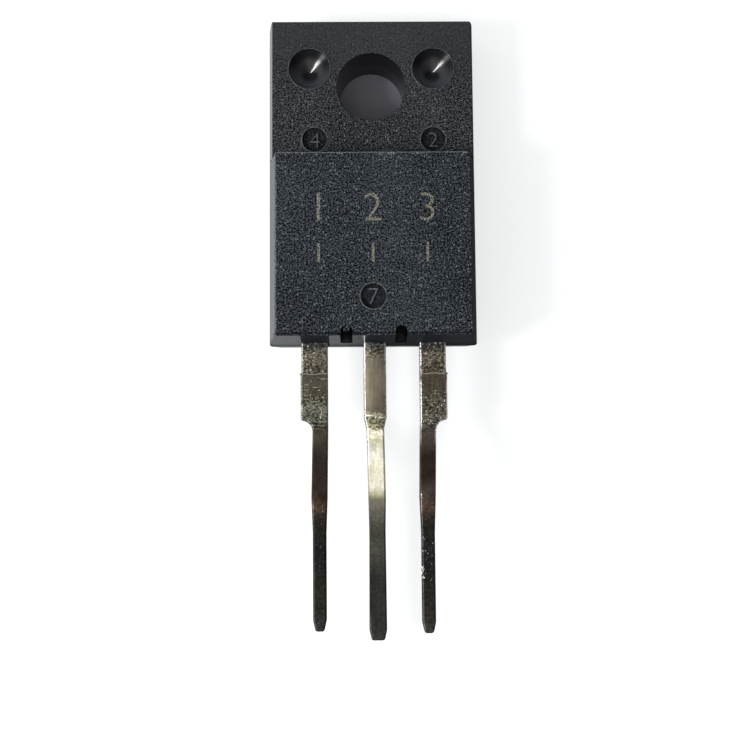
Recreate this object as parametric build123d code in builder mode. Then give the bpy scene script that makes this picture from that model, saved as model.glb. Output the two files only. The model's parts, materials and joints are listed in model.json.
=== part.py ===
"""A three-lead power transistor in a fully moulded, screw-down package, in millimetres.

Frame: the origin is the centre of the screw hole on the flat back face. +X runs across the
leads, +Y runs up the tab, and +Z comes out of the marked front face.

The epoxy body is moulded round everything else: a copper header that carries the silicon die
and runs out as the middle lead, two outer leads with bonding posts, and aluminium bond wires.
"""

from build123d import *
import math
import os

# ---------------------------------------------------------------- moulded body
body_width = 10.0
body_height = 16.1
body_thickness = 4.5
tab_height = 6.95  # top edge to the shoulder where the thick part starts
tab_thickness = 2.8
hole_diameter = 3.2  # of the straight part, at the back
hole_land = 1.4  # height of the straight part
hole_draft = 3.7  # degrees, on the rest of the hole
hole_from_top = 3.35
rim_radius = 0.05  # soft edges of the front, the tab and the hole

parting_z = 2.4  # the two mould halves meet at the back of the leads
side_draft = 10.0  # degrees, on the sides of the front half
end_draft = 6.8  # degrees, on the top and bottom of the front half
back_draft = 6.0  # degrees, all round the back half
shoulder_draft = 5.0
outline_radius = 0.13  # corners of the outline, seen from the front
shoulder_radius = 0.2  # the two corners of the thick part at the shoulder
worn_corner_width = 0.16  # rubbed off the left corner of the tab
worn_corner_height = 0.5

# marks of the mould
support_pin_radius = 1.0
support_pin_x = 3.03
support_pin_y = 0.92
support_pin_wall = 0.12  # straight wall above the cone
support_pin_point = 118.0  # degrees, included angle of the cone
support_pin_flat = 0.05  # radius of the blunt tip
ejector_radius = 0.6
ejector_depth = 0.18
ejector_back_depth = 0.05
ejector_left_x = -2.78
ejector_right_x = 3.0
ejector_tab_up = 0.95  # above the shoulder
ejector_foot_up = 2.1  # above the bottom edge
notch_radius = 0.28
notch_x = 1.29
notch_up = 0.44  # centre of the round end, above the bottom edge
notch_depth = 1.45  # from the front face
nib_width = 0.28  # of the nibs of epoxy that stand in the notches
nib_length = 0.3
nib_height = 0.4
nib_gap = 0.14  # between a nib and the bottom edge
tongue_length = 0.26  # of the tongue that splits the round end of the left notch

# ---------------------------------------------------------------- lead frame
lead_thickness = 0.65
lead_pitch = 2.56
neck_width = 0.74
tail_width = 0.62
root_width = 1.3  # outer leads, beside the body
root_length = 3.6  # body to the hollow shoulder where the outer leads narrow
dam_gap = 1.4  # body to the line where the tie bar was cut off
dam_stub = 0.04  # how far the cut stands out
middle_root_width = 1.08
middle_root_shift = 0.05
middle_root_length = 3.5
middle_neck_width = 0.84
middle_tail_width = 0.78
middle_tip_width = 0.84
tail_run = 1.6  # over which a neck thins to its tail
tip_length = 0.5
tip_narrowing = 0.11  # on each side of the tip
base_tail_shift = 0.0  # sideways lean of each tail, along X
middle_tail_shift = 0.12
emitter_tail_shift = -0.16

# bends that put the tails in two rows
first_bend = 4.0  # below the body
second_bend = 7.3
bend_radius = 0.9  # at the middle of the strip
outer_rise = 1.78
middle_drop = 0.76
base_reach = 13.31  # body to tip, as bent
emitter_reach = 13.43
middle_reach = 14.0

# header, the thick copper plate under the die
header_thickness = 1.3
header_cover = 0.65  # epoxy between the header and the back face
header_side_cover = 1.1
header_top = 1.9  # above the hole centre
header_foot_cover = 2.15  # epoxy between the header and the bottom edge
hole_clearance = 0.8  # epoxy between the hole and the header
lock_radius = 0.45  # half-round notches that key the header in the epoxy
lock_gap = 1.3  # below the throat of the header
groove_depth = 0.15  # of the V groove that stops solder and damp
groove_gap = 0.5  # between the grooves and the header's throat
tongue_width = 1.6
joggle_radius = 0.4
joggle_start = 1.75  # above the bottom edge
joggle_end = 0.85

# bonding posts on the outer leads
post_width = 2.4
post_height = 1.1
post_gap = 0.3  # between a post and the foot of the header
post_side_gap = 0.75  # between a post and the middle tongue

# ---------------------------------------------------------------- die and wires
die_size = 4.4
die_thickness = 0.32
die_foot_gap = 0.8  # between the die and the foot of the header
solder_thickness = 0.06
solder_margin = 0.15
base_wire_diameter = 0.2
emitter_wire_diameter = 0.38
emitter_wire_spacing = 0.85
foot_length = 0.6  # of wire pressed flat at each bond
foot_sink = 0.3  # share of the diameter that is pressed flat
loop_clearance = 0.55  # epoxy between the wire loops and the front face
wire_bend = 0.35
loop_rise = 0.35  # share of the span where a loop reaches its crest
loop_fall = 0.7  # and where it leaves it
base_pad_x = 1.75  # bonding pads, from the middle of the die
base_pad_down = 1.5
emitter_pad_x = 0.6
emitter_pad_down = 0.9

# ---------------------------------------------------------------- derived places
top_y = hole_from_top
foot_y = top_y - body_height
shoulder_y = top_y - tab_height
mid_y = (top_y + foot_y) / 2
lead_mid_z = parting_z + lead_thickness / 2
lead_front_z = parting_z + lead_thickness
relief_radius = root_width - neck_width  # the hollow shoulder takes the whole step
header_z = header_cover + header_thickness
header_foot_y = foot_y + header_foot_cover
throat_radius = hole_diameter / 2 + hole_clearance
header_edge_x = body_width / 2 - header_side_cover
lock_y = -throat_radius - lock_gap
post_top_y = header_foot_y - post_gap
post_foot_y = post_top_y - post_height
die_y = header_foot_y + die_foot_gap + die_size / 2
die_top_z = header_z + solder_thickness + die_thickness
solder_size = die_size + 2 * solder_margin
ejector_marks = (
    (ejector_left_x, shoulder_y + ejector_tab_up, tab_thickness),
    (ejector_right_x, shoulder_y + ejector_tab_up, tab_thickness),
    (0, foot_y + ejector_foot_up, body_thickness),
)


def draft(depth, degrees):
    """How far a wall of this depth leans in."""
    return depth * math.tan(math.radians(degrees))


def strip(points, radius):
    """The side view of a bent strip, from points along its middle, on the YZ plane."""
    with BuildSketch(Plane.YZ) as sketch:
        with BuildLine():
            FilletPolyline(*points, radius=radius)
        trace(line_width=lead_thickness)
    return sketch.sketch


def bent_path(reach, offset):
    """Points along a lead outside the body: straight, a slope, and straight to the tip."""
    return [
        (foot_y - first_bend, lead_mid_z),
        (foot_y - second_bend, lead_mid_z + offset),
        (foot_y - reach, lead_mid_z + offset),
    ]


def tail_edge(center, neck, tail, tip, reach, side):
    """One edge of a tail, seen from the front, from the second bend down to the tip."""
    return [
        (center + side * neck / 2, foot_y - second_bend),
        (center + side * tail / 2, foot_y - second_bend - tail_run),
        (center + side * tip / 2, foot_y - reach + tip_length),
        (center + side * (tip / 2 - tip_narrowing), foot_y - reach),
    ]


# ---------------------------------------------------------------- outer leads
def outer_lead(side, shift, reach, label):
    """A stamped lead with its bonding post; side is -1 for the base and +1 for the emitter."""
    center = side * lead_pitch
    inner_x = center - side * neck_width / 2
    neck_x = center + side * neck_width / 2
    root_x = inner_x + side * root_width
    post_inner_x = side * (tongue_width / 2 + post_side_gap)
    post_outer_x = post_inner_x + side * post_width
    relief_y = foot_y - root_length
    tail_sizes = (neck_width, tail_width, tail_width, reach)
    outer_tail = tail_edge(center + shift, *tail_sizes, side)
    inner_tail = tail_edge(center + shift, *tail_sizes, -side)
    side_view = strip([(post_top_y, lead_mid_z), *bent_path(reach, outer_rise)], bend_radius)
    with BuildPart() as lead:
        extrude(side_view, amount=body_width, both=True)
        with BuildSketch():
            with BuildLine():
                Polyline(
                    (inner_x, post_foot_y),
                    (post_inner_x, post_foot_y),
                    (post_inner_x, post_top_y),
                    (post_outer_x, post_top_y),
                    (post_outer_x, post_foot_y),
                    (root_x - side * dam_stub, post_foot_y),
                    (root_x - side * dam_stub, foot_y - dam_gap),
                    (root_x, foot_y - dam_gap),
                    (root_x, relief_y),
                )
                RadiusArc(
                    (root_x, relief_y), (neck_x, relief_y - relief_radius), -side * relief_radius
                )
                Polyline(
                    (neck_x, relief_y - relief_radius),
                    *outer_tail,
                    *reversed(inner_tail),
                    (inner_x, relief_y),
                    (inner_x, post_foot_y),
                )
            make_face()
        extrude(amount=2 * body_thickness, mode=Mode.INTERSECT)
    lead.part.label = label
    return lead.part


base_lead = outer_lead(-1, base_tail_shift, base_reach, "base_lead")
emitter_lead = outer_lead(1, emitter_tail_shift, emitter_reach, "emitter_lead")

# ---------------------------------------------------------------- header
with BuildPart() as header_plate:
    with BuildSketch(Plane.XY.offset(header_cover)) as plate:
        with Locations((0, header_foot_y)):
            Rectangle(
                2 * header_edge_x,
                header_top - header_foot_y,
                align=(Align.CENTER, Align.MIN),
            )
        Circle(throat_radius, mode=Mode.SUBTRACT)
        Rectangle(
            2 * throat_radius,
            header_top,
            align=(Align.CENTER, Align.MIN),
            mode=Mode.SUBTRACT,
        )
        fillet(plate.vertices(), outline_radius)
        with Locations((-header_edge_x, lock_y), (header_edge_x, lock_y)):
            Circle(lock_radius, mode=Mode.SUBTRACT)
    extrude(amount=header_thickness)
    with BuildSketch(Plane.YZ):
        with Locations((-throat_radius - groove_gap, header_z)):
            Rectangle(math.sqrt(2) * groove_depth, math.sqrt(2) * groove_depth, 45)
    extrude(amount=body_width, both=True, mode=Mode.SUBTRACT)

# the middle lead is one piece with the header: a tongue that steps up to the lead plane
tongue_z = header_z - lead_thickness / 2
middle_view = strip(
    [
        (header_foot_y, tongue_z),
        (foot_y + joggle_start, tongue_z),
        (foot_y + joggle_end, lead_mid_z),
        *bent_path(middle_reach, -middle_drop),
    ],
    joggle_radius,
)


def middle_edge(side):
    """One edge of the middle lead, seen from the front, from the header to the tip."""
    root_edge = middle_root_shift + side * middle_root_width / 2
    neck_edge = middle_root_shift + side * middle_neck_width / 2
    return [
        (side * tongue_width / 2, header_foot_y),
        (side * tongue_width / 2, foot_y + joggle_end),
        (root_edge, foot_y + joggle_end),
        (root_edge, foot_y - middle_root_length),
        (neck_edge, foot_y - middle_root_length - tip_length),
        *tail_edge(
            middle_tail_shift,
            middle_neck_width,
            middle_tail_width,
            middle_tip_width,
            middle_reach,
            side,
        ),
    ]


with BuildPart() as header:
    extrude(middle_view, amount=body_width, both=True)
    with BuildSketch():
        with BuildLine():
            Polyline(*middle_edge(-1), *reversed(middle_edge(1)), close=True)
        make_face()
    extrude(amount=body_thickness, mode=Mode.INTERSECT)
    add(header_plate.part)
header.part.label = "collector_header"

# ---------------------------------------------------------------- die and solder
with BuildPart() as solder:
    with BuildSketch(Plane.XY.offset(header_z)):
        with Locations((0, die_y)):
            RectangleRounded(solder_size, solder_size, solder_margin)
    extrude(amount=solder_thickness)
solder.part.label = "die_attach_solder"

with BuildPart() as die:
    with BuildSketch(Plane.XY.offset(header_z + solder_thickness)):
        with Locations((0, die_y)):
            Rectangle(die_size, die_size)
    extrude(amount=die_thickness)
die.part.label = "transistor_die"


# ---------------------------------------------------------------- bond wires
def bond_wire(start, end, diameter, label):
    """A wire looped from the die to a post, pressed flat where each end is bonded."""
    run = Vector(end[0] - start[0], end[1] - start[1])
    plane = Plane(
        origin=(start[0], start[1], 0), x_dir=run, z_dir=run.cross(Vector(0, 0, 1))
    )
    axis_height = diameter * (0.5 - foot_sink)
    crest = body_thickness - loop_clearance - diameter / 2
    start_z = die_top_z + axis_height
    end_z = lead_front_z + axis_height
    with BuildPart() as wire:
        with BuildLine(plane):
            FilletPolyline(
                (-foot_length / 2, start_z),
                (foot_length / 2, start_z),
                (run.length * loop_rise, crest),
                (run.length * loop_fall, crest),
                (run.length - foot_length / 2, end_z),
                (run.length + foot_length / 2, end_z),
                radius=wire_bend,
            )
        with BuildSketch(Plane(origin=plane.from_local_coords((-foot_length / 2, start_z)), z_dir=run)):
            Circle(diameter / 2)
        sweep()
        add(die.part, mode=Mode.SUBTRACT)
        add(base_lead, mode=Mode.SUBTRACT)
        add(emitter_lead, mode=Mode.SUBTRACT)
    wire.part.label = label
    return wire.part


post_middle_y = (post_top_y + post_foot_y) / 2
post_middle_x = tongue_width / 2 + post_side_gap + post_width / 2
base_bond_wire = bond_wire(
    (-base_pad_x, die_y - base_pad_down),
    (-post_middle_x, post_middle_y),
    base_wire_diameter,
    "base_bond_wire",
)
emitter_bond_wires = [
    bond_wire(
        (emitter_pad_x + offset, die_y - emitter_pad_down),
        (post_middle_x + offset, post_middle_y),
        emitter_wire_diameter,
        f"emitter_bond_wire_{name}",
    )
    for name, offset in (("a", -emitter_wire_spacing / 2), ("b", emitter_wire_spacing / 2))
]

# ---------------------------------------------------------------- moulded body
with BuildPart() as body:
    halves = ((0, back_draft, back_draft), (body_thickness, side_draft, end_draft))
    for face_z, side_lean, end_lean in halves:
        depth = abs(face_z - parting_z)
        with BuildSketch(Plane.XY.offset(parting_z)):
            with Locations((0, mid_y)):
                RectangleRounded(body_width, body_height, outline_radius)
        with BuildSketch(Plane.XY.offset(face_z)):
            with Locations((0, mid_y)):
                RectangleRounded(
                    body_width - 2 * draft(depth, side_lean),
                    body_height - 2 * draft(depth, end_lean),
                    outline_radius,
                )
        loft()

    # the thin tab, in front of which the shoulder rises to the thick part
    with BuildSketch(Plane.YZ):
        with BuildLine():
            Polyline(
                (shoulder_y, tab_thickness),
                (shoulder_y - draft(body_thickness - tab_thickness, shoulder_draft), body_thickness),
                (top_y, body_thickness),
                (top_y, tab_thickness),
                close=True,
            )
        make_face()
    extrude(amount=body_width, both=True, mode=Mode.SUBTRACT)
    shoulder_face = body.faces().sort_by(lambda face: abs(face.center().Y - shoulder_y))[0]
    corners = shoulder_face.edges().sort_by(Axis.X)
    fillet([corners[0], corners[-1]], shoulder_radius)
    back_face, tab_face, front_face = body.faces().filter_by(Plane.XY).sort_by(Axis.Z)
    fillet(front_face.edges() + tab_face.edges().sort_by(Axis.Y)[1:], rim_radius)

    Hole(hole_diameter / 2, depth=2 * body_thickness)
    hole_front = tab_thickness - hole_land
    with Locations((0, 0, hole_land)):
        Cone(
            hole_diameter / 2,
            hole_diameter / 2 + draft(hole_front, hole_draft),
            hole_front,
            align=(Align.CENTER, Align.CENTER, Align.MIN),
            mode=Mode.SUBTRACT,
        )
    hole_rims = body.edges().filter_by(GeomType.CIRCLE).group_by(lambda edge: edge.radius)[-1]
    fillet(hole_rims.sort_by(Axis.Z)[-1], rim_radius)

    # the left corner of the tab is rubbed away
    with BuildSketch():
        with BuildLine():
            Polyline(
                (-body_width / 2, top_y - worn_corner_height),
                (-body_width / 2 + worn_corner_width, top_y),
                (-body_width / 2, top_y),
                close=True,
            )
        make_face()
    extrude(amount=body_thickness, mode=Mode.SUBTRACT)

    # blind recesses left by the pins that hold the header off the mould
    with Locations(*[(side * support_pin_x, support_pin_y, tab_thickness) for side in (-1, 1)]):
        Cylinder(
            support_pin_radius,
            support_pin_wall,
            align=(Align.CENTER, Align.CENTER, Align.MAX),
            mode=Mode.SUBTRACT,
        )
    with Locations(
        *[
            (side * support_pin_x, support_pin_y, tab_thickness - support_pin_wall)
            for side in (-1, 1)
        ]
    ):
        Cone(
            support_pin_flat,
            support_pin_radius,
            (support_pin_radius - support_pin_flat) / math.tan(math.radians(support_pin_point / 2)),
            align=(Align.CENTER, Align.CENTER, Align.MAX),
            mode=Mode.SUBTRACT,
        )

    # ejector marks
    for x, y, z in ejector_marks:
        with BuildSketch(Plane.XY.offset(z)):
            with Locations((x, y)):
                Circle(ejector_radius)
        extrude(amount=-ejector_depth, mode=Mode.SUBTRACT)
        with BuildSketch(Plane.XY):
            with Locations((x, y)):
                Circle(ejector_radius)
        extrude(amount=ejector_back_depth, mode=Mode.SUBTRACT)

    # two round-ended notches in the bottom edge, between the leads
    with BuildSketch(Plane.XY.offset(body_thickness)):
        with Locations(*[(side * notch_x, foot_y + notch_up) for side in (-1, 1)]):
            Circle(notch_radius)
            Rectangle(2 * notch_radius, 2 * notch_up, align=(Align.CENTER, Align.MAX))
    extrude(amount=-notch_depth, mode=Mode.SUBTRACT)
    notch_floor_z = body_thickness - notch_depth
    with Locations(*[(side * notch_x, foot_y + nib_gap, notch_floor_z) for side in (-1, 1)]):
        Box(nib_width, nib_length, nib_height, align=(Align.CENTER, Align.MIN, Align.MIN))
    with Locations((-notch_x, foot_y + notch_up + notch_radius, notch_floor_z)):
        Box(nib_width, tongue_length, notch_depth, align=(Align.CENTER, Align.MAX, Align.MIN))

    inner_pieces = [
        header.part,
        base_lead,
        emitter_lead,
        solder.part,
        die.part,
        base_bond_wire,
        *emitter_bond_wires,
    ]
    for piece in inner_pieces:
        add(piece, mode=Mode.SUBTRACT)
body.part.label = "molded_body"

os.makedirs("parts", exist_ok=True)
for piece in [body.part, *inner_pieces]:
    export_step(piece, f"parts/{piece.label}.step")
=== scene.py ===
"""A fully moulded power transistor: finishes, small raised details, light and camera.

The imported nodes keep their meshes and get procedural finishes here. Raised figures, lips and
the laser marking are new pieces on the body; fine ridges and solder drops are on the leads.
"""

import json
import logging
import math
import random
from dataclasses import dataclass, field
from enum import Enum
from functools import partial, reduce

import bmesh
import bpy
from mathutils import Euler, Matrix, Vector

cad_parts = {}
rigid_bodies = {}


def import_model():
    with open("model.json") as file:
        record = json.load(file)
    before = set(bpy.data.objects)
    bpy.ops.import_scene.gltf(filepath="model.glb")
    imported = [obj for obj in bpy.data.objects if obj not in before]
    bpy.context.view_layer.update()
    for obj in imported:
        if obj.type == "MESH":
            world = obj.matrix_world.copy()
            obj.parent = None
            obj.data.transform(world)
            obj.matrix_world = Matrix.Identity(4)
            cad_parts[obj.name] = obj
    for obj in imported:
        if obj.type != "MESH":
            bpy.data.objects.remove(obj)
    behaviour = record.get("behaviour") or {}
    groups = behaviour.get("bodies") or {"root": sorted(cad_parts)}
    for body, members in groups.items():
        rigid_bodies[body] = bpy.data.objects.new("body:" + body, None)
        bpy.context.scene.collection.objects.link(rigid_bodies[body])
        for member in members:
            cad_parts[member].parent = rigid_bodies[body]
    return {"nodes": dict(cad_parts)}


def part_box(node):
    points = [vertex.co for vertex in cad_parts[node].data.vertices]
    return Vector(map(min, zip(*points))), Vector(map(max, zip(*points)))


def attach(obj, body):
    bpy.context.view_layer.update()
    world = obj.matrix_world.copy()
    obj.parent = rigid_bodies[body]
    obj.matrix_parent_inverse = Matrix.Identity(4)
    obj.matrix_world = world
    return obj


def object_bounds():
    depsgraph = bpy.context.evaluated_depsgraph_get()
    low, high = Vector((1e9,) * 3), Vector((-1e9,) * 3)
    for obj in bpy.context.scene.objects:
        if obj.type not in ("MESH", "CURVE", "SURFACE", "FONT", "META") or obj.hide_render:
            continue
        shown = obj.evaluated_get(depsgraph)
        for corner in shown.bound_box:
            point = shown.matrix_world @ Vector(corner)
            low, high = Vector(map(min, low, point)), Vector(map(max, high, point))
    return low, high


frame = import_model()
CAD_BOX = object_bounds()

logging.basicConfig(level=logging.INFO, format="%(message)s")
log = logging.getLogger("transistor")

MM = 0.001
Triple = tuple[float, float, float]
Colour = Triple
Range = tuple[float, float]
Levels = tuple[tuple[float, float], ...]
Tints = tuple[tuple[float, Colour], ...]
Material = bpy.types.Material
Socket = bpy.types.NodeSocket
Sockets = bpy.types.NodeOutputs
Shape = bmesh.types.BMesh
Value = Socket | float | Colour | Vector


class Slot(Enum):
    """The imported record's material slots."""

    EPOXY = "epoxy"
    PLATING = "lead_plating"


def srgb(red: int, green: int, blue: int) -> Colour:
    """Linear light of a colour that is given as 0-255 display values."""
    return tuple(
        value / 255 / 12.92 if value <= 10 else ((value / 255 + 0.055) / 1.055) ** 2.4
        for value in (red, green, blue)
    )


def configure(target: object, **settings: object) -> None:
    """Set some of an object's properties."""
    for name, value in settings.items():
        setattr(target, name, value)


# --- node helpers
class NodeCanvas:
    """A thin wrapper that adds and links the nodes of one tree."""

    def __init__(self, tree: bpy.types.NodeTree) -> None:
        """Start on a tree."""
        self.tree = tree

    def feed(self, target: Socket, value: Value) -> None:
        """Link a socket, or set its value; a colour gets full alpha.

        Args:
            target: Input socket.
            value: An output socket or a constant.
        """
        if isinstance(value, Socket):
            self.tree.links.new(value, target)
        elif target.type == "RGBA":
            target.default_value = (*value, 1.0)
        else:
            target.default_value = value

    def fill(self, node: bpy.types.Node, values: dict[int | str, Value]) -> None:
        """Feed some of a node's inputs, by name or number."""
        for key, value in values.items():
            self.feed(node.inputs[key], value)

    def add(self, kind: str, values: dict[int | str, Value], **settings: object) -> bpy.types.Node:
        """Add a node, set its properties and feed its inputs.

        Args:
            kind: The node's type name without the ShaderNode prefix.
            values: Values or links for its inputs, by name or number.
            **settings: Properties of the node.

        Returns:
            The new node.
        """
        node = self.tree.nodes.new("ShaderNode" + kind)
        configure(node, **settings)
        self.fill(node, values)
        return node

    def math(self, operation: str, first: Value, second: Value = 0.0) -> Socket:
        """Result of a Math node's operation on one or two values."""
        return self.add("Math", {0: first, 1: second}, operation=operation).outputs[0]

    def product(self, *values: Value) -> Socket:
        """Product of some values, or where every one of some masks is 1."""
        return reduce(partial(self.math, "MULTIPLY"), values)

    def largest(self, *values: Value) -> Socket:
        """Largest of some values, or where at least one of some masks is 1."""
        return reduce(partial(self.math, "MAXIMUM"), values)

    def above(self, value: Value, limit: float) -> Socket:
        """Mask of 1 where a value is above a limit."""
        return self.math("GREATER_THAN", value, limit)

    def below(self, value: Value, limit: Value) -> Socket:
        """Mask of 1 where a value is below a limit."""
        return self.math("LESS_THAN", value, limit)

    def inverse(self, mask: Value) -> Socket:
        """Where a mask isn't 1."""
        return self.math("SUBTRACT", 1.0, mask)

    def off(self, value: Value, place: float) -> Socket:
        """How far a value is from a place, either way."""
        return self.math("ABSOLUTE", self.math("SUBTRACT", value, place))

    def remap(
        self, value: Value, low: Value, high: Value, out_low: Value = 0.0, out_high: Value = 1.0
    ) -> Socket:
        """Map the range from low to high to that from out_low to out_high, with a smooth clamp."""
        inputs = dict(enumerate((value, low, high, out_low, out_high)))
        return self.add("MapRange", inputs, interpolation_type="SMOOTHSTEP").outputs[0]

    def near(self, value: Value, place: float, width: float) -> Socket:
        """Mask of 1 at a place, fading to 0 a width away."""
        return self.remap(self.off(value, place), 0.0, width, 1.0, 0.0)

    def mix(self, factor: Value, first: Value, second: Value) -> Socket:
        """Mix two colours; the factor is the second one's share."""
        return self.add("Mix", {0: factor, 6: first, 7: second}, data_type="RGBA").outputs[2]

    def noise(self, vector: Socket, scale: float, detail: float, rough: float = 0.5) -> Socket:
        """Noise with a scale in cells a metre, some finer layers, and those layers' weight."""
        inputs = {"Vector": vector, "Scale": scale, "Detail": detail, "Roughness": rough}
        return self.add("TexNoise", inputs).outputs["Fac"]

    def stretched(self, vector: Socket, scale: Triple) -> Socket:
        """Coordinates scaled along each axis."""
        return self.add("Mapping", {"Vector": vector, "Scale": scale}).outputs[0]

    def ramp(self, value: Value, stops: Tints) -> Socket:
        """Add a colour ramp.

        Args:
            value: Position along the ramp.
            stops: Positions with their colours.

        Returns:
            The colour at that position.
        """
        node = self.add("ValToRGB", {0: value})
        elements = node.color_ramp.elements
        while len(elements) < len(stops):
            elements.new(0.5)
        for element, (position, colour) in zip(elements, stops):
            element.position = position
            element.color = (*colour, 1.0)
        return node.outputs[0]


class Paint(NodeCanvas):
    """A new material on Object coordinates."""

    def __init__(self, name: str) -> None:
        """Start the material.

        Args:
            name: Its name.
        """
        self.material = bpy.data.materials.new(name)
        self.material.use_nodes = True
        super().__init__(self.material.node_tree)
        self.shader = self.tree.nodes["Principled BSDF"]
        self.coordinates = self.add("TexCoord", {}).outputs
        self.at = self.coordinates["Object"]

    def facing(self, axis: str) -> Socket:
        """How far the surface faces along the X, Y or Z axis, either way."""
        normal = self.add("SeparateXYZ", {0: self.coordinates["Normal"]})
        return self.math("ABSOLUTE", normal.outputs[axis])

    def apply(
        self, values: dict[str, Value], height: Value | None = None, depth: float = 0.0
    ) -> Material:
        """Feed the shader, and give it a bump if there is a height.

        Args:
            values: The shader's inputs by name.
            height: Height of the bump as a share.
            depth: Its depth in metres.

        Returns:
            The material.
        """
        self.fill(self.shader, values)
        if height is not None:
            bump = self.add("Bump", {"Strength": 1.0, "Distance": depth, "Height": height})
            self.feed(self.shader.inputs["Normal"], bump.outputs["Normal"])
        return self.material


class PlacedPaint(Paint):
    """A material with masks by place on a piece."""

    def __init__(self, name: str) -> None:
        """Start the material and split its coordinates."""
        super().__init__(name)
        self.x, self.y, self.z = self.add("SeparateXYZ", {0: self.at}).outputs

    def radial(self, x: float, y: float) -> Socket:
        """Distance from the upright axis through a point."""
        squares = (self.math("POWER", self.off(*side), 2.0) for side in ((self.x, x), (self.y, y)))
        return self.math("SQRT", self.math("ADD", *squares))


class EffectGroup(NodeCanvas):
    """A shader node group with named inputs and outputs, built once."""

    def __init__(self, name: str, inputs: dict[str, float], outputs: tuple[str, ...]) -> None:
        """Make the empty group.

        Args:
            name: The group's name.
            inputs: Float inputs with their defaults, after the Vector input.
            outputs: Names of the float outputs.
        """
        super().__init__(bpy.data.node_groups.new(name, "ShaderNodeTree"))
        face = self.tree.interface
        face.new_socket("Vector", in_out="INPUT", socket_type="NodeSocketVector")
        for key, value in inputs.items():
            socket = face.new_socket(key, in_out="INPUT", socket_type="NodeSocketFloat")
            socket.default_value = value
        for key in outputs:
            face.new_socket(key, in_out="OUTPUT", socket_type="NodeSocketFloat")
        self.entry = self.tree.nodes.new("NodeGroupInput").outputs
        self.exit = self.tree.nodes.new("NodeGroupOutput")

    def place(self, paint: Paint, **shares: Value) -> Sockets:
        """Put the group into a material, with a value or link for its share."""
        named = {f"{key.capitalize()} share": share for key, share in shares.items()}
        return paint.add("Group", {"Vector": paint.at, **named}, node_tree=self.tree).outputs


def build_moulding_grain() -> EffectGroup:
    """Spark-eroded surface of filled epoxy: tight grains, painted sparkle specks and fine pits.

    Returns:
        The group, with Tone, Speck and Height outputs.
    """
    group = EffectGroup("moulding_grain", {"Speck share": 0.5}, ("Tone", "Speck", "Height"))
    at = group.entry["Vector"]
    cloud = group.noise(at, 300, 2)
    grains = group.noise(at, 11765, 1, 0.6)
    grit = group.noise(at, 20000, 0)
    fine = group.math("ADD", group.product(grains, 0.6), group.product(grit, 0.4))
    faint = group.product(group.math("SUBTRACT", cloud, 0.5), 0.1)
    cells = group.add("TexVoronoi", {"Vector": at, "Scale": 9000}, feature="F1").outputs
    pick = group.add("SeparateColor", {0: cells["Color"]}).outputs[0]
    chosen = group.below(pick, group.entry["Speck share"])
    speck = group.product(chosen, group.remap(cells["Distance"], 0.5, 0.15))
    group.fill(group.exit, {"Tone": group.math("ADD", fine, faint), "Speck": speck, "Height": fine})
    return group


def build_plating_wrinkle() -> EffectGroup:
    """Uneven tin plating: crackle across the strip, drawn lines along it, crust and pits.

    Returns:
        The group, with Tone, Crackle, Crust and Height outputs.
    """
    outputs = ("Tone", "Crackle", "Crust", "Height")
    group = EffectGroup("plating_wrinkle", {"Crust share": 0.3}, outputs)
    at = group.entry["Vector"]
    crackle = group.noise(group.stretched(at, (0.8, 1.3, 1.0)), 8600, 2, 0.6)
    lines = group.noise(group.stretched(at, (1.0, 0.12, 1.0)), 9000, 2, 0.6)
    lump = group.noise(at, 1100, 2)
    fine = group.noise(at, 11000, 2, 0.6)
    crust = group.math("SUBTRACT", group.entry["Crust share"], fine)
    results = {
        "Tone": group.math("ADD", group.product(lines, 0.45), group.product(lump, 0.55)),
        "Crackle": crackle,
        "Crust": group.remap(crust, 0.0, 0.05),
        "Height": group.math("ADD", crackle, group.product(fine, 0.3)),
    }
    group.fill(group.exit, results)
    return group


@dataclass(frozen=True)
class Effects:
    """The shared node groups."""

    grain: EffectGroup
    wrinkle: EffectGroup


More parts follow.
